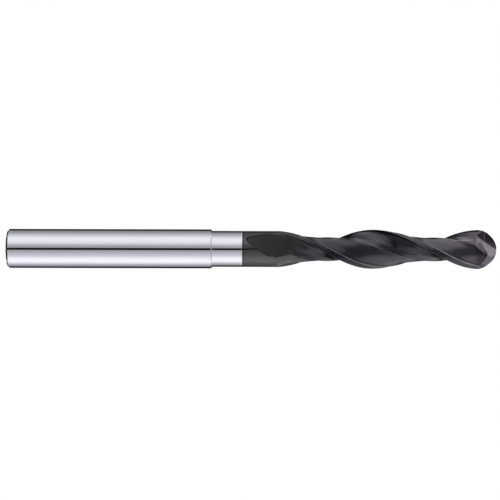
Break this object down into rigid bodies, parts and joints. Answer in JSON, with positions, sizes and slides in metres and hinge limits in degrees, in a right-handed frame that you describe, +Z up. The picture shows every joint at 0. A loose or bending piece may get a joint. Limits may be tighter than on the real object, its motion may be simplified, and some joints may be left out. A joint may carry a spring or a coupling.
{
  "type": "end mill",
  "caption": "Long-neck ball nose end mill with a ground cylindrical shank, a reduced neck and a dark coated, helically fluted carbide head.",
  "frame": {"origin": "centre of the shank's rear face, on the tool's axis", "axes": "+X along the tool's axis towards the ball end, +Z up as the tool lies, +Y away from the viewer"},
  "size_m": [0.1, 0.008, 0.008],
  "materials": {
    "ground_steel": "fine cylindrical grinding, bright",
    "coated_carbide": "thin dark violet-grey nitride coating over ground carbide, satin",
    "silver_braze": "bright ground silver alloy"
  },
  "bodies": {
    "root": {"shank": "ground_steel", "cutting_head": "coated_carbide", "braze_filler": "silver_braze"}
  },
  "joints": []
}
